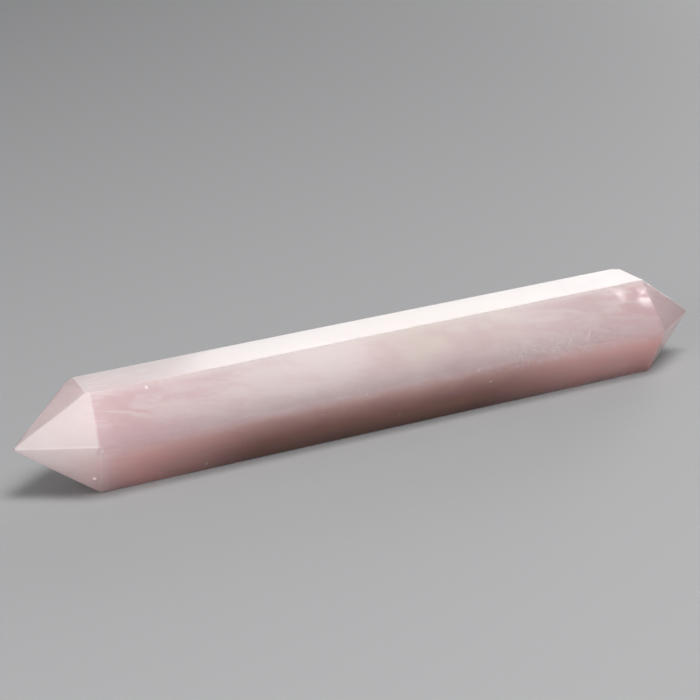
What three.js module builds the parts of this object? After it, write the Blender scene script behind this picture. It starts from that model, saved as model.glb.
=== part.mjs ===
// A double-terminated point of rose quartz: one stone, ground flat facet by flat facet.
//
// Lengths are in millimetres and angles in degrees. The stone lies on one long face. +X runs from
// its near tip to its far tip, +Z is up, and the origin lies under the middle of its bounding box.

import * as THREE from 'three';
import { ConvexGeometry } from 'three/addons/geometries/ConvexGeometry.js';
import { mergeVertices } from 'three/addons/utils/BufferGeometryUtils.js';

// Driving dimensions.
const acrossFlats = 13;
const tipToTip = 102.4;
const edgeRadius = 0.2;
const edgeFlats = 3;
const tipWear = 0.3;

const stoneColour = 0xd9b9ba;
const polish = 0.15;

const axisHeight = acrossFlats / 2;
const weldDistance = 1e-4;
const insideTolerance = 1e-6;

// Where each end would come to a point before it is worn.
const nearPoint = new THREE.Vector3(-tipToTip / 2, 0.06, 6.75);
const farPoint = new THREE.Vector3(tipToTip / 2, -0.34, 6.13);

// The six long faces. Each faces `around` degrees about X, counted from +Y towards +Z, and is
// ground `off` the average distance. `taper` turns it in towards the axis at the far end.
const longFaces = [
  { around: 30.0, off: -0.05, taper: 0 },
  { around: 90.8, off: 0.15, taper: 0.2 },
  { around: 150.8, off: 0.08, taper: 0.3 },
  { around: 209.1, off: -0.14, taper: -0.3 },
  { around: 270, off: 0, taper: 0 },
  { around: 330.4, off: -0.06, taper: 0.1 },
];

// The six facets of each end. `slope` is a facet's angle to the axis of the stone.
const nearFacets = [
  { around: 33.0, slope: 34.2 },
  { around: 82.6, slope: 34.1 },
  { around: 146.8, slope: 36.9 },
  { around: 215.5, slope: 33.8 },
  { around: 270.4, slope: 33.9 },
  { around: 328.5, slope: 34.6 },
];
const farFacets = [
  { around: 31.0, slope: 35.2 },
  { around: 96.1, slope: 35.9 },
  { around: 145.8, slope: 33.5 },
  { around: 211.7, slope: 33.7 },
  { around: 268.6, slope: 34.9 },
  { around: 332.0, slope: 34.2 },
];

// The direction that faces `around` degrees about the axis and leans `lean` degrees towards +X.
function direction(around, lean) {
  const turn = THREE.MathUtils.degToRad(around);
  const rise = THREE.MathUtils.degToRad(lean);
  return new THREE.Vector3(
    Math.sin(rise),
    Math.cos(rise) * Math.cos(turn),
    Math.cos(rise) * Math.sin(turn),
  );
}

function longPlane({ around, off, taper }) {
  const outward = direction(around, taper);
  const onFace = new THREE.Vector3(0, 0, axisHeight);
  onFace.addScaledVector(outward, acrossFlats / 2 + off);
  return new THREE.Plane().setFromNormalAndCoplanarPoint(outward, onFace);
}

function tipPlanes(point, facets, side) {
  const planes = facets.map(({ around, slope }) =>
    new THREE.Plane().setFromNormalAndCoplanarPoint(direction(around, side * slope), point));
  const wornEnd = point.clone();
  wornEnd.x -= side * tipWear;
  const outward = new THREE.Vector3(side, 0, 0);
  planes.push(new THREE.Plane().setFromNormalAndCoplanarPoint(outward, wornEnd));
  return planes;
}

// The point that three planes share, or null where two of them are parallel.
function sharedPoint(a, b, c) {
  const bc = b.normal.clone().cross(c.normal);
  const spread = a.normal.dot(bc);
  if (Math.abs(spread) < insideTolerance) return null;
  const ca = c.normal.clone().cross(a.normal);
  const ab = a.normal.clone().cross(b.normal);
  const sum = bc.multiplyScalar(-a.constant);
  sum.addScaledVector(ca, -b.constant);
  sum.addScaledVector(ab, -c.constant);
  return sum.divideScalar(spread);
}

// Each corner of the solid behind the planes, with the three planes that meet there.
function cornersBehind(planes) {
  const corners = [];
  for (let i = 0; i < planes.length; i += 1) {
    for (let j = i + 1; j < planes.length; j += 1) {
      for (let k = j + 1; k < planes.length; k += 1) {
        const faces = [planes[i], planes[j], planes[k]];
        const point = sharedPoint(...faces);
        if (!point) continue;
        const inside = planes.every((plane) => plane.distanceToPoint(point) < insideTolerance);
        if (inside) corners.push({ point, faces });
      }
    }
  }
  return corners;
}

// The points of a small sphere's patch at one corner, from face normal to face normal.
function roundedCorner({ point, faces }) {
  const patch = [];
  for (let i = 0; i <= edgeFlats; i += 1) {
    for (let j = 0; j <= edgeFlats - i; j += 1) {
      const outward = new THREE.Vector3();
      outward.addScaledVector(faces[0].normal, i);
      outward.addScaledVector(faces[1].normal, j);
      outward.addScaledVector(faces[2].normal, edgeFlats - i - j);
      patch.push(point.clone().addScaledVector(outward.normalize(), edgeRadius));
    }
  }
  return patch;
}

// The stone with every edge and corner eased by edgeRadius. Its flat facets keep their planes.
function groundStone() {
  const planes = [
    ...longFaces.map(longPlane),
    ...tipPlanes(nearPoint, nearFacets, -1),
    ...tipPlanes(farPoint, farFacets, 1),
  ];
  for (const plane of planes) plane.constant += edgeRadius;
  const eased = new ConvexGeometry(cornersBehind(planes).flatMap(roundedCorner));

  eased.deleteAttribute('normal');
  eased.deleteAttribute('uv');
  eased.computeBoundingBox();
  const middle = eased.boundingBox.getCenter(new THREE.Vector3());
  eased.translate(-middle.x, -middle.y, -eased.boundingBox.min.z);

  const stone = mergeVertices(eased, weldDistance);
  stone.computeVertexNormals();
  return stone;
}

const roseQuartz = new THREE.MeshStandardMaterial({
  color: stoneColour,
  roughness: polish,
  metalness: 0,
});

const point = new THREE.Mesh(groundStone(), roseQuartz);
point.name = 'rose_quartz_point';

const part = new THREE.Group();
part.name = 'rose_quartz_point_part';
part.add(point);

export default part;
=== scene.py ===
import math

import bpy
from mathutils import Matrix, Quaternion, Vector


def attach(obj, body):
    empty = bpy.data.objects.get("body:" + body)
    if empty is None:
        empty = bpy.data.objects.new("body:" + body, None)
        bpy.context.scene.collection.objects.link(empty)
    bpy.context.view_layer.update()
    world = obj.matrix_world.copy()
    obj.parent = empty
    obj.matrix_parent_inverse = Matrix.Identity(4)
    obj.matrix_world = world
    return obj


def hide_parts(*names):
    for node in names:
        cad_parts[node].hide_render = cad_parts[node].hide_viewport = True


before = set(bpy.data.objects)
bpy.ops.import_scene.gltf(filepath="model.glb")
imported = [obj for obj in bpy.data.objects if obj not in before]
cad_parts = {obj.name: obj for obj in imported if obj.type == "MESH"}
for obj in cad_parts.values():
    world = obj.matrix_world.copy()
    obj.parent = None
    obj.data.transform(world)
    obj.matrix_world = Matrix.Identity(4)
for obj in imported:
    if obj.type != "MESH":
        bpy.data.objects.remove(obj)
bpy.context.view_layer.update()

MM = 0.001

# The photograph's view, found from the stone's corners and their mirror images.
VIEW_FROM = Vector((-0.17288, -0.30379, 0.11091))
VIEW_TURN = math.radians(29.226)
VIEW_DOWN = math.radians(16.093)
VIEW_ROLL = math.radians(-3.026)
LENS = 142.7
SENSOR = 36.0
NEAREST = 0.01
FURTHEST = 30.0

# The stone's middle. The lights face it, and the chips' lines aim at its height.
STONE_MIDDLE = Vector((0.0, 0.0, 0.0065))

# Soft boxes: place, width, height and power in watts.
KEY_BOX = (Vector((0.03, -0.24, 0.58)), 0.34, 0.34, 6.5)
NEAR_BOX = (Vector((-0.50, -0.31, 0.13)), 0.40, 0.26, 3.5)
FAR_BOX = (Vector((0.50, 0.36, 0.12)), 0.20, 0.20, 1.3)
BACK_BOX = (Vector((0.65, 0.87, 0.30)), 0.45, 0.30, 0.30)
BACK_PANEL = (Vector((0.62, 0.88, 0.30)), 0.60, 0.30, 0.38)
NEAR_PANEL = (Vector((-0.46, -0.28, 0.35)), 0.26, 0.26, 0.05)
ROOM_LIGHT = 0.32
ROOM_COLOUR = (0.96, 0.98, 1.0, 1.0)

FLOOR_WIDTH = 6.0
FLOOR_PAINT = (0.20, 0.20, 0.203)
FLOOR_ROUGHNESS = 0.75
FLOOR_GLOSS = 0.2

# Quartz, as light meets it.
QUARTZ_IOR = 1.544
CLOUDY_ROUGHNESS = 0.34
MOTTLED_ROUGHNESS = 0.05
CHIPPED_ROUGHNESS = 0.20
POLISH = 1.0
POLISH_ROUGHNESS = 0.10
CLOUD_COLOUR = (0.9995, 0.986, 0.983)
CLOUD_DENSITY = 600.0
CLOUD_FORWARD = 0.2

# How often one ray of light may turn: in all, inside the cloudy stone, and through its skin.
MOST_TURNS = 32
TURNS_IN_CLOUD = 22
TURNS_THROUGH = 16

# The colours that the stone's skin takes, as linear light.
ROSE = (0.86, 0.70, 0.72)
PALE_ROSE = (0.97, 0.91, 0.90)
BLUSH = (0.75, 0.525, 0.555)
TIP_ROSE = (1.0, 0.80, 0.83)
HONEY = (0.96, 0.92, 0.83)
# Painted shade for the lower front face: a dark band, and a red shade reddened as by light that went deep
# through the stone.
PAINTED_BAND_SHADE = (0.165, 0.034, 0.012)
PAINTED_RED_SHADE = (1.0, 0.46, 0.43)
# Painted shade for the lower edges, and a rosier painted shade for the ends.
PAINTED_LOW_SHADE = (0.58, 0.50, 0.52)
ROSE_PAINTED_SHADE = (0.63, 0.445, 0.475)
MILK = (0.95, 0.88, 0.88)

# The stone's noises. The size is that of one lump along each axis.
HAZE = {"size": (24 * MM, 8 * MM, 8 * MM), "lean": (0, 0.14, 0.05), "shift": 0.013, "detail": 3.0,
        "warp": 0.6}
BILLOW = {"size": (8.5 * MM, 4.5 * MM, 4.5 * MM), "lean": (0.2, 0.25, 0), "shift": 0.11, "warp": 0.9}
VEILS = {"size": (7.2 * MM, 1.4 * MM, 1.4 * MM), "lean": (0.3, 0.16, -0.06), "detail": 5.0, "coarse": 0.65,
         "warp": 0.7}
THREADS = {"size": (4.5 * MM, 0.5 * MM, 0.5 * MM), "lean": (0, 0.10, 0.10), "shift": 0.5, "detail": 3.0}
MOTTLE = {"size": (2.6 * MM, 1.6 * MM, 1.6 * MM), "shift": 0.21, "detail": 5.0, "coarse": 0.65, "warp": 0.8}
FOLDS = {"size": (3.4 * MM, 1.6 * MM, 1.6 * MM), "lean": (0, 0.5, 0), "shift": 0.7, "detail": 3.0,
         "warp": 1.6}
DENTS = {"size": (1.8 * MM, 1.2 * MM, 1.2 * MM), "shift": 0.9, "detail": 2.0, "warp": 0.7}
MIDDLE_LEVEL = 0.5

# Where a tint starts and where it is whole: X along the stone, Y across it and Z up it.
NEAR_END_X = (-17 * MM, -40 * MM)
NEAR_TIP_X = (-38 * MM, -44 * MM)
FAR_END_X = (18 * MM, 38 * MM)
FAR_TIP_X = (35 * MM, 42 * MM)
FAR_FACETS_X = (42 * MM, 46 * MM)
FRONT_Y = (1.5 * MM, -3.5 * MM)
UPPER_Z = (5.5 * MM, 7.0 * MM)
TOP_Z = (12.2 * MM, 12.9 * MM)

# How much each part of the noises pales the rose, and where on them it starts and is whole.
HAZE_SHARE = 0.42
BILLOW_SHARE = 0.22
VEIL_SHARE = 0.36
PALE_LEVELS = (0.41, 0.57)

# The blush at both ends. It lies mostly in the dark strands of the veils.
STRAND_LEVELS = (0.58, 0.44)
BETWEEN_STRANDS = 0.4
BLUSH_NEAR = 1.056
BLUSH_FAR = 0.686
BLUSH_FAR_TIP = 0.704
BLUSH_FAR_FACETS = 0.6

# The near tip is calmer than the rest: its facets are painted even, and the paleness on its front facet is
# a painted reflection. Its front facet ends along an edge that leans towards +X.
TIP_EDGE_X = (-42.75 * MM, -42.95 * MM)
TIP_EDGE_FOOT = 6.4 * MM
TIP_EDGE_LEAN = 0.133
TIP_CALM_AND_PAINTED_REFLECTION = 0.85

# Its top facet is rosier. It lies above a slope through the tip, given by its parts across and up.
TIP_HEIGHT = 6.75 * MM
CROWN_ACROSS = 0.78
CROWN_UP = 0.38
CROWN_EDGE = (0.0, 0.6 * MM)

# The top face is painted pale as a painted reflection, less so at the near end, and a fine pale grain lies
# over the whole stone.
TOP_PAINTED_REFLECTION = 0.9
TOP_PAINTED_REFLECTION_LOST_NEAR = 0.6
GRAIN_LEVELS = (0.36, 0.64)
GRAIN_AMOUNT = 0.16

# A touch of honey high on the middle.
HONEY_X = 10 * MM
HONEY_REACH = (15 * MM, 2 * MM)
HONEY_LEVELS = (0.30, 0.66)
HONEY_Z = (7 * MM, 10 * MM)
HONEY_AMOUNT = 0.85

# The stone darkens towards its lower edges: painted shade.
PAINTED_LOW_SHADE_Z = (10.5 * MM, 7.0 * MM)
PAINTED_LOW_SHADE_AMOUNT = 0.50
PAINTED_LOW_SHADE_MORE_NEAR = 0.15
PAINTED_LOW_SHADE_LESS_FAR = 0.10
PAINTED_LOW_SHADE_FOOT_Z = (6.5 * MM, 5.0 * MM)
PAINTED_LOW_SHADE_LOST_AT_FOOT = 0.6
ROSY_PAINTED_SHADE_FAR = 0.7

# Both in the front half, both painted shade: a red painted shade low along the stone, which fades out
# towards the near tip, and a dark painted band over it along the middle.
# Their upper limits are ragged.
RAGGED = 0.5 * MM
BILLOWED = 2.0 * MM
PAINTED_RED_SHADE_Z = (7.4 * MM, 4.2 * MM)
PAINTED_RED_SHADE_X = (-49 * MM, -33 * MM)
PAINTED_RED_SHADE_LEVELS = (0.35, 0.60)
PAINTED_RED_SHADE_AMOUNT = 0.75
PAINTED_RED_SHADE_MORE = 0.25
PAINTED_BAND_SHADE_NEAR_X = (-38 * MM, -18 * MM)
PAINTED_BAND_SHADE_FAR_X = (35 * MM, 13 * MM)
PAINTED_BAND_SHADE_Z = (9.0 * MM, 2.2 * MM)
PAINTED_BAND_SHADE_AMOUNT = 0.82
LIP_RAGGED = 1.2 * MM
LIP_Z = (7.0 * MM, 5.2 * MM)
LIP_AMOUNT = 0.15

# Fine pale threads run through everything but the painted dark band.
THREAD_LEVELS = (0.55, 0.80)
THREAD_AMOUNT = 0.25

# Crinkled frost round one place on the far half, halfway up.
FROST_X = 25 * MM
FROST_LENGTH = (13 * MM, 4 * MM)
FROST_Z = 7.3 * MM
FROST_HEIGHT = (2.8 * MM, 0.6 * MM)
CREASE_WIDTH = (0.060, 0.0)
# The frost's hollows take painted shade.
HOLLOW_LEVELS = (0.58, 0.72)
PAINTED_HOLLOW_SHADE_AMOUNT = 0.5
DENT_DEPTH = 0.30 * MM
DENTS_OFF_FROST = 0.03

# Two small cleaved spots on the upper front side near the far tip.
FLARE = Vector((40.7, -4.95, 10.95)) * MM
FLARE_REACH = (2.0 * MM, 0.2 * MM)
SIDE_FLARE = Vector((37.2, -4.5, 11.7)) * MM
SIDE_FLARE_REACH = (1.3 * MM, 0.1 * MM)
SIDE_FLARE_AMOUNT = 0.6
FLARE_LEVELS = (0.31, 0.55)

# Specks are so far apart, and so wide as a part of that.
SPECK_SPACING = 5.2 * MM
SPECK_WIDTH = (0.055, 0.020)

# How much each mark pales the skin, and how much of the surface it turns milky.
CREASE_PALE = 0.42
FLARE_PALE = 0.85
SPECK_PALE = 0.8
FRESH_PALE = 0.4
RUBBED_PALE = 0.22
HAZE_MILKY_LEVELS = (0.50, 0.70)
HAZE_MILKY = 0.06
FLARE_MILKY = 0.45
SPECK_MILKY = 0.3
FRESH_MILKY = 0.22
RUBBED_MILKY = 0.12

# How worn each face of the stone is, from 0 on a facet to 1 in a fresh chip.
WEAR = "wear"
EDGE_WEAR = 0.25
FACET_AREA = 15 * MM * MM
FRESH_WEAR = (0.5, 0.9)
RUBBED_WEAR = (0.05, 0.20)
RUBBED_LEVELS = (0.52, 0.70)

# Faces whose directions round to the same steps are one facet. A face in a chip lies on its ball, to
# within this part of the ball's radius.
DIRECTION_STEPS = 40
BITE_SLACK = 0.05

# How fine a chip's ball is, how near two points are to be welded, how far out a chip's line starts, and
# from what angle on an edge stays sharp.
BALL_FINENESS = 3
WELD = 0.01 * MM
OUTSIDE = 30 * MM
SHARP_ANGLE = math.radians(24)

# Chips along the edges: place along the stone in millimetres, degrees about it from +Y towards +Z,
# the radius of the ball that the chip is a bite of, and how deep the bite goes.
CHIPS = (
    (-42.3, 180.0, 0.50, 0.13),
    (-42.5, 225.0, 0.45, 0.06),
    (-34.5, 126.0, 0.42, 0.06),
    (-29.7, 155.7, 0.35, 0.05),
    (-5.0, 180.0, 0.50, 0.09),
    (12.1, 180.0, 0.60, 0.12),
    (13.9, 180.5, 0.40, 0.08),
    (33.5, 240.0, 0.55, 0.12),
    (-21.0, 60.0, 0.60, 0.12),
    (27.5, 1.0, 0.80, 0.18),
    (-33.0, 0.0, 0.50, 0.12),
    (6.0, 300.0, 0.60, 0.12),
    (41.9, 58.0, 0.55, 0.15),
)


def add_camera():
    """Stands the camera where the photograph was taken from."""
    data = bpy.data.cameras.new("photo_view")
    data.lens = LENS
    data.sensor_width = SENSOR
    data.clip_start = NEAREST
    data.clip_end = FURTHEST
    camera = bpy.data.objects.new("photo_view", data)
    bpy.context.collection.objects.link(camera)
    ahead = Vector((math.sin(VIEW_TURN) * math.cos(VIEW_DOWN),
                    math.cos(VIEW_TURN) * math.cos(VIEW_DOWN),
                    -math.sin(VIEW_DOWN)))
    level = ahead.to_track_quat("-Z", "Y")
    camera.rotation_mode = "QUATERNION"
    camera.rotation_quaternion = level @ Quaternion((0, 0, 1), VIEW_ROLL)
    camera.location = VIEW_FROM
    bpy.context.scene.camera = camera


def hang_softbox(name, box):
    """Hangs one soft box so that it faces the stone."""
    place, width, height, power = box
    data = bpy.data.lights.new(name, "AREA")
    data.shape = "RECTANGLE"
    data.size = width
    data.size_y = height
    data.energy = power
    light = bpy.data.objects.new(name, data)
    bpy.context.collection.objects.link(light)
    light.location = place
    light.rotation_mode = "QUATERNION"
    light.rotation_quaternion = (STONE_MIDDLE - place).to_track_quat("-Z", "Y")
    light.visible_camera = False


def light_room():
    """Soft boxes above, at each end and behind, two faint panels, and a dim even room."""
    hang_softbox("key_box", KEY_BOX)
    hang_softbox("near_box", NEAR_BOX)
    hang_softbox("near_panel", NEAR_PANEL)
    hang_softbox("far_box", FAR_BOX)
    hang_softbox("back_box", BACK_BOX)
    hang_softbox("back_panel", BACK_PANEL)
    world = bpy.data.worlds.new("room")
    world.use_nodes = True
    background = world.node_tree.nodes["Background"]
    background.inputs["Color"].default_value = ROOM_COLOUR
    background.inputs["Strength"].default_value = ROOM_LIGHT
    scene = bpy.context.scene
    scene.world = world
    scene.view_settings.view_transform = "Standard"


def let_light_wander():
    """Gives light enough turns inside the cloudy stone to come out again."""
    cycles = bpy.context.scene.cycles
    cycles.max_bounces = MOST_TURNS
    cycles.volume_bounces = TURNS_IN_CLOUD
    cycles.transmission_bounces = TURNS_THROUGH


class Value:
    """A node's output that takes part in sums, each of which adds a Math node."""

    def __init__(self, shader, socket):
        self.shader = shader
        self.socket = socket

    def _math(self, operation, *terms):
        return self.shader.node("ShaderNodeMath", {"operation": operation}, dict(enumerate(terms)))

    def __add__(self, other):
        return self._math("ADD", self, other)

    def __radd__(self, other):
        return self._math("ADD", other, self)

    def __sub__(self, other):
        return self._math("SUBTRACT", self, other)

    def __rsub__(self, other):
        return self._math("SUBTRACT", other, self)

    def __mul__(self, other):
        return self._math("MULTIPLY", self, other)

    def __rmul__(self, other):
        return self._math("MULTIPLY", other, self)

    def __abs__(self):
        return self._math("ABSOLUTE", self)


class Shader:
    """A new node material and the one way nodes are added to it."""

    def __init__(self, name):
        self.material = bpy.data.materials.new(name)
        self.material.use_nodes = True
        self.tree = self.material.node_tree
        self.tree.nodes.clear()

    def node(self, kind, settings=None, inputs=None, output=0):
        """Adds a node, makes its settings, fills its sockets and returns one of its outputs."""
        made = self.tree.nodes.new(kind)
        for key, value in (settings or {}).items():
            setattr(made, key, value)
        for key, value in (inputs or {}).items():
            socket = made.inputs[key]
            if isinstance(value, Value):
                self.tree.links.new(value.socket, socket)
            elif socket.type == "RGBA":
                socket.default_value = (*value, 1.0)
            else:
                socket.default_value = value
        if not made.outputs:
            return None
        return Value(self, made.outputs[output])

    def place(self):
        """Where a point of the piece is, in metres."""
        return self.node("ShaderNodeTexCoord", output="Object")

    def along(self, place):
        """The three coordinates of a place, one by one."""
        split = self.node("ShaderNodeSeparateXYZ", None, {"Vector": place})
        return [Value(self, socket) for socket in split.socket.node.outputs]

    def distance(self, place, other):
        """How far one place is from another."""
        return self.node("ShaderNodeVectorMath", {"operation": "DISTANCE"}, {0: place, 1: other}, output=1)

    def fade(self, value, start, end):
        """Rises softly from 0 at start to 1 at end, or falls where end is the smaller."""
        if end < start:
            return 1 - self.fade(value, end, start)
        return self.node("ShaderNodeMapRange", {"interpolation_type": "SMOOTHSTEP"},
                         {"Value": value, "From Min": start, "From Max": end})

    def blend(self, amount, first, second):
        """One colour laid over another, by amount."""
        return self.node("ShaderNodeMix", {"data_type": "RGBA"}, {0: amount, 6: first, 7: second}, output=2)

    def cloud(self, place, size, lean=(0, 0, 0), shift=0.0, detail=4.0, coarse=0.55, warp=0.0):
        """Noise whose lumps have a size along each axis, in metres, turned by lean."""
        laid = self.node("ShaderNodeMapping", {"vector_type": "TEXTURE"}, {
            "Vector": place, "Location": (shift, shift, shift), "Rotation": lean, "Scale": size})
        return self.node("ShaderNodeTexNoise", None, {
            "Vector": laid, "Scale": 1.0, "Detail": detail, "Roughness": coarse, "Distortion": warp})

    def finish(self, surface, volume=None):
        sockets = {"Surface": surface}
        if volume:
            sockets["Volume"] = volume
        self.node("ShaderNodeOutputMaterial", None, sockets)
        return self.material


def floor_paint():
    s = Shader("studio_floor")
    return s.finish(s.node("ShaderNodeBsdfPrincipled", None, {
        "Base Color": FLOOR_PAINT, "Roughness": FLOOR_ROUGHNESS, "Specular IOR Level": FLOOR_GLOSS}))


class InStone:
    """Where a point of the stone is, and what its noises are there."""

    def __init__(self, s):
        self.place = s.place()
        self.x, self.y, self.z = s.along(self.place)
        self.haze = s.cloud(self.place, **HAZE)
        self.billow = s.cloud(self.place, **BILLOW)
        self.veils = s.cloud(self.place, **VEILS)
        self.mottle = s.cloud(self.place, **MOTTLE)
        self.near_end = s.fade(self.x, *NEAR_END_X)
        self.far_end = s.fade(self.x, *FAR_END_X)
        self.front = s.fade(self.y, *FRONT_Y)


def veiled_rose(s, at):
    """Rose with pale veils, and blush in their strands at both ends."""
    paleness = s.fade(at.haze * HAZE_SHARE + at.billow * BILLOW_SHARE + at.veils * VEIL_SHARE, *PALE_LEVELS)
    skin = s.blend(paleness, ROSE, PALE_ROSE)
    strands = BETWEEN_STRANDS + (1 - BETWEEN_STRANDS) * s.fade(at.veils, *STRAND_LEVELS)
    far_tip = s.fade(at.x, *FAR_TIP_X)
    blush = at.near_end * BLUSH_NEAR + at.far_end * BLUSH_FAR + far_tip * BLUSH_FAR_TIP
    return s.blend(blush * strands, skin, BLUSH)


def calm_near_tip(s, at):
    """1 on the near tip's facets and 0 along the bar. Low down it fades instead of ending at the edge."""
    upper = s.fade(at.z, *UPPER_Z)
    facets = s.fade(at.x - (at.z - TIP_EDGE_FOOT) * TIP_EDGE_LEAN, *TIP_EDGE_X)
    return facets * upper + s.fade(at.x, *NEAR_TIP_X) * (1 - upper)


def paled(s, at, calm, skin):
    """The near tip's two upper facets, its front facet painted pale as a reflection, the top face painted
    pale as a reflection, and an even grain.
    """
    crown = s.fade(at.y * CROWN_ACROSS + (at.z - TIP_HEIGHT) * CROWN_UP, *CROWN_EDGE)
    # The near tip's facets painted even; the pale front facet is a painted reflection.
    skin = s.blend(calm * TIP_CALM_AND_PAINTED_REFLECTION, skin, s.blend(crown, PALE_ROSE, TIP_ROSE))
    # Painted reflection: the top face paler, less so at the near end.
    top_reflection = s.fade(at.z, *TOP_Z) * (1 - calm) * (TOP_PAINTED_REFLECTION - at.near_end * TOP_PAINTED_REFLECTION_LOST_NEAR)
    skin = s.blend(top_reflection, skin, PALE_ROSE)
    return s.blend(s.fade(at.mottle, *GRAIN_LEVELS) * GRAIN_AMOUNT, skin, PALE_ROSE)


def honeyed(s, at, skin):
    honey = s.fade(abs(at.x - HONEY_X), *HONEY_REACH) * s.fade(at.billow, *HONEY_LEVELS)
    return s.blend(honey * s.fade(at.z, *HONEY_Z) * HONEY_AMOUNT, skin, HONEY)


def with_painted_low_shade(s, at, calm, skin):
    """Painted shade towards the lower edges, rosier at the ends, with blush on the far tip's facets."""
    amount = PAINTED_LOW_SHADE_AMOUNT + at.near_end * PAINTED_LOW_SHADE_MORE_NEAR - at.far_end * PAINTED_LOW_SHADE_LESS_FAR
    foot = s.fade(at.z, *PAINTED_LOW_SHADE_FOOT_Z) * at.near_end
    # Painted shade: darker towards the lower edges.
    painted_low_shade = s.fade(at.z, *PAINTED_LOW_SHADE_Z) * (1 - calm) * amount * (1 - foot * PAINTED_LOW_SHADE_LOST_AT_FOOT)
    skin = s.blend(painted_low_shade, skin, s.blend(at.near_end + at.far_end * ROSY_PAINTED_SHADE_FAR, PAINTED_LOW_SHADE, ROSE_PAINTED_SHADE))
    return s.blend(s.fade(at.x, *FAR_FACETS_X) * BLUSH_FAR_FACETS, skin, BLUSH)


def painted_band_shade_amount(s, at, under):
    """How much painted shade darkens the lower front, most at its foot, with a faint ragged lip."""
    reach = s.fade(at.x, *PAINTED_BAND_SHADE_NEAR_X) * s.fade(at.x, *PAINTED_BAND_SHADE_FAR_X) * at.front
    lip = at.z + (at.mottle - MIDDLE_LEVEL) * LIP_RAGGED
    return (s.fade(under, *PAINTED_BAND_SHADE_Z) * PAINTED_BAND_SHADE_AMOUNT + s.fade(lip, *LIP_Z) * LIP_AMOUNT) * reach


def painted_red_shade_amount(s, at, under):
    """How much painted red shade the lower front takes. It fades out towards the near tip."""
    patches = PAINTED_RED_SHADE_AMOUNT + PAINTED_RED_SHADE_MORE * s.fade(at.billow, *PAINTED_RED_SHADE_LEVELS)
    return s.fade(under, *PAINTED_RED_SHADE_Z) * s.fade(at.x, *PAINTED_RED_SHADE_X) * at.front * patches


def ragged_height(at):
    """Height in the stone, as ragged as its noises, so that what follows it has no straight edge."""
    return at.z + (at.mottle - MIDDLE_LEVEL) * RAGGED + (at.billow - MIDDLE_LEVEL) * BILLOWED


def threaded(s, at, painted_band_shade, skin):
    threads = s.fade(s.cloud(at.place, **THREADS), *THREAD_LEVELS)
    return s.blend(threads * (1 - painted_band_shade) * THREAD_AMOUNT, skin, PALE_ROSE)


def frost(s, at):
    """Where the frost is, the creases in it, and its hollows, which take painted shade."""
    reach = s.fade(abs(at.x - FROST_X), *FROST_LENGTH) * s.fade(abs(at.z - FROST_Z), *FROST_HEIGHT)
    folds = s.cloud(at.place, **FOLDS)
    creases = s.fade(abs(folds - MIDDLE_LEVEL), *CREASE_WIDTH) * reach
    painted_hollow_shade = s.fade(folds, *HOLLOW_LEVELS) * reach
    return reach, creases, painted_hollow_shade


def flares(s, at):
    """The two cleaved spots, one of them fainter, broken up by the mottle."""
    main = s.fade(s.distance(at.place, FLARE), *FLARE_REACH)
    side = s.fade(s.distance(at.place, SIDE_FLARE), *SIDE_FLARE_REACH)
    return (main + side * SIDE_FLARE_AMOUNT) * s.fade(at.mottle, *FLARE_LEVELS)


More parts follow.
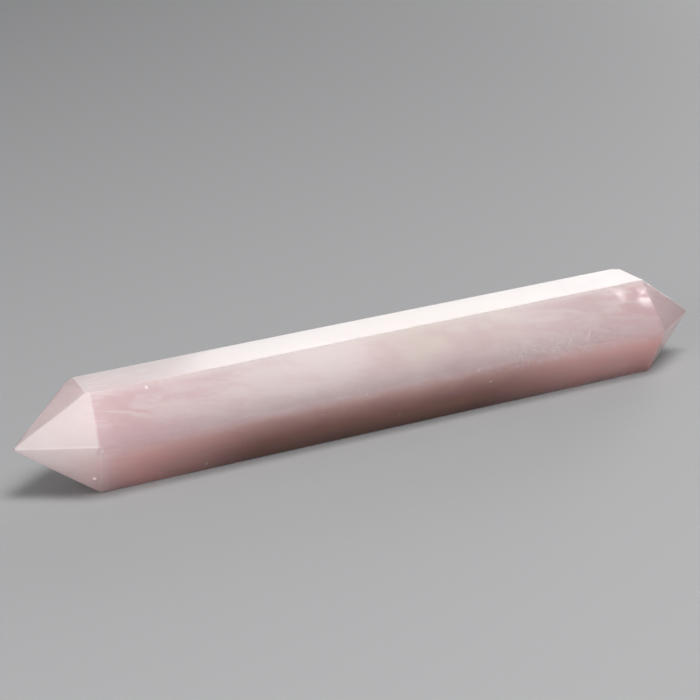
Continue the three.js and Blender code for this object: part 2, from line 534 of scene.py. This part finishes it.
def rose_quartz():
    """Cloudy pink quartz under a polish: veils run along the stone, with blush at both ends."""
    s = Shader("rose_quartz")
    at = InStone(s)
    calm = calm_near_tip(s, at)
    skin = paled(s, at, calm, veiled_rose(s, at))
    skin = with_painted_low_shade(s, at, calm, honeyed(s, at, skin))

    under = ragged_height(at)
    # Painted shade on the lower front face: a dark band along the middle and a red shade low along the
    # stone.
    painted_band_shade = painted_band_shade_amount(s, at, under)
    skin = s.blend(painted_red_shade_amount(s, at, under), skin, PAINTED_RED_SHADE)
    skin = threaded(s, at, painted_band_shade, s.blend(painted_band_shade, skin, PAINTED_BAND_SHADE))

    frost_reach, creases, painted_hollow_shade = frost(s, at)
    # Painted shade in the frost's hollows.
    skin = s.blend(painted_hollow_shade * PAINTED_HOLLOW_SHADE_AMOUNT, skin, ROSE_PAINTED_SHADE)

    flare = flares(s, at)
    specks = s.fade(s.node("ShaderNodeTexVoronoi", None, {"Vector": at.place, "Scale": 1 / SPECK_SPACING}),
                    *SPECK_WIDTH)
    wear = s.node("ShaderNodeAttribute", {"attribute_name": WEAR}, output="Fac")
    fresh = s.fade(wear, *FRESH_WEAR)
    rubbed = s.fade(wear, *RUBBED_WEAR) * s.fade(at.mottle, *RUBBED_LEVELS) * (1 - painted_band_shade)
    pale_marks = (creases * CREASE_PALE + flare * FLARE_PALE + specks * SPECK_PALE + fresh * FRESH_PALE
                  + rubbed * RUBBED_PALE)
    skin = s.blend(pale_marks, skin, MILK)

    dents = s.cloud(at.place, **DENTS) * (DENTS_OFF_FROST + frost_reach)
    dented = s.node("ShaderNodeBump", None, {"Strength": 1.0, "Distance": DENT_DEPTH, "Height": dents})
    polished = {
        "Base Color": skin, "IOR": QUARTZ_IOR, "Normal": dented,
        "Roughness": CLOUDY_ROUGHNESS + MOTTLED_ROUGHNESS * at.mottle + CHIPPED_ROUGHNESS * fresh,
        "Coat Weight": POLISH, "Coat Roughness": POLISH_ROUGHNESS, "Coat IOR": QUARTZ_IOR}
    clear = s.node("ShaderNodeBsdfPrincipled", None, {**polished, "Transmission Weight": 1.0})
    milk = s.node("ShaderNodeBsdfPrincipled", None, polished)
    milkiness = (s.fade(at.haze, *HAZE_MILKY_LEVELS) * HAZE_MILKY + flare * FLARE_MILKY
                 + specks * SPECK_MILKY + fresh * FRESH_MILKY + rubbed * RUBBED_MILKY)
    surface = s.node("ShaderNodeMixShader", None, {0: milkiness, 1: clear, 2: milk})
    cloudiness = s.node("ShaderNodeVolumePrincipled", None, {
        "Color": CLOUD_COLOUR, "Density": CLOUD_DENSITY, "Anisotropy": CLOUD_FORWARD})
    return s.finish(surface, cloudiness)


def deselect_all():
    bpy.ops.object.select_all(action="DESELECT")


def chip_ball(stone, along, around, radius, depth):
    """A ball that bites into the stone where a line from outside meets it."""
    outward = Vector((0.0, math.cos(math.radians(around)), math.sin(math.radians(around))))
    outside = Vector((along * MM, 0.0, STONE_MIDDLE.z)) + outward * OUTSIDE
    hit, spot, _, _ = stone.ray_cast(outside, -outward)
    if not hit:
        raise RuntimeError(f"no stone at {along} mm, {around} degrees")
    bpy.ops.mesh.primitive_ico_sphere_add(subdivisions=BALL_FINENESS, radius=radius * MM,
                                          location=spot + outward * ((radius - depth) * MM))
    return bpy.context.object


def mark_wear(stone, bites):
    """Says how worn each face is: not at all on a facet, a little on an edge, and fully in a chip."""
    mesh = stone.data
    directions = [tuple(round(part * DIRECTION_STEPS) for part in face.normal) for face in mesh.polygons]
    areas = {}
    for face, direction in zip(mesh.polygons, directions):
        areas[direction] = areas.get(direction, 0.0) + face.area
    wear = mesh.attributes.new(WEAR, "FLOAT", "FACE")
    for face, direction in zip(mesh.polygons, directions):
        chipped = any(abs((face.center - middle).length / radius - 1.0) < BITE_SLACK
                      for middle, radius in bites)
        if areas[direction] > FACET_AREA:
            wear.data[face.index].value = 0.0
        elif chipped:
            wear.data[face.index].value = 1.0
        else:
            wear.data[face.index].value = EDGE_WEAR


def welded_copy(node, name):
    """The frame's own shape in a new object, with its faces joined."""
    deselect_all()
    node.select_set(True)
    bpy.context.view_layer.objects.active = node
    bpy.ops.object.duplicate()
    stone = bpy.context.object
    stone.name = name
    bpy.ops.object.mode_set(mode="EDIT")
    bpy.ops.mesh.select_all(action="SELECT")
    bpy.ops.mesh.remove_doubles(threshold=WELD)
    bpy.ops.object.mode_set(mode="OBJECT")
    return stone


def chip_edges(stone):
    """Bites the chips out of the stone's edges, and marks its faces by how worn they are."""
    deselect_all()
    balls = [chip_ball(stone, *chip) for chip in CHIPS]
    spots = [(ball.location.copy(), chip[2] * MM) for ball, chip in zip(balls, CHIPS)]
    deselect_all()
    for ball in balls:
        ball.select_set(True)
    bpy.context.view_layer.objects.active = balls[0]
    bpy.ops.object.join()
    bites = bpy.context.object

    deselect_all()
    stone.select_set(True)
    bpy.context.view_layer.objects.active = stone
    chip = stone.modifiers.new("chips", "BOOLEAN")
    chip.operation = "DIFFERENCE"
    chip.solver = "EXACT"
    chip.object = bites
    bpy.ops.object.modifier_apply(modifier="chips")
    bpy.data.objects.remove(bites)

    mark_wear(stone, spots)


def polished_stone():
    """The stone in the frame's own shape, with its edges chipped and its shading made even."""
    stone = welded_copy(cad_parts["rose_quartz_point"], "polished_stone")
    chip_edges(stone)
    bpy.ops.object.shade_smooth_by_angle(angle=SHARP_ANGLE)
    stone.modifiers.new("even_shading", "WEIGHTED_NORMAL").keep_sharp = True
    bpy.ops.object.modifier_apply(modifier="even_shading")

    stone.data.materials.clear()
    stone.data.materials.append(rose_quartz())
    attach(stone, "root")
    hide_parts("rose_quartz_point")


def lay_floor():
    deselect_all()
    bpy.ops.mesh.primitive_plane_add(size=FLOOR_WIDTH)
    floor = bpy.context.object
    floor.name = "studio_floor"
    floor.data.materials.append(floor_paint())


add_camera()
light_room()
let_light_wander()
lay_floor()
polished_stone()
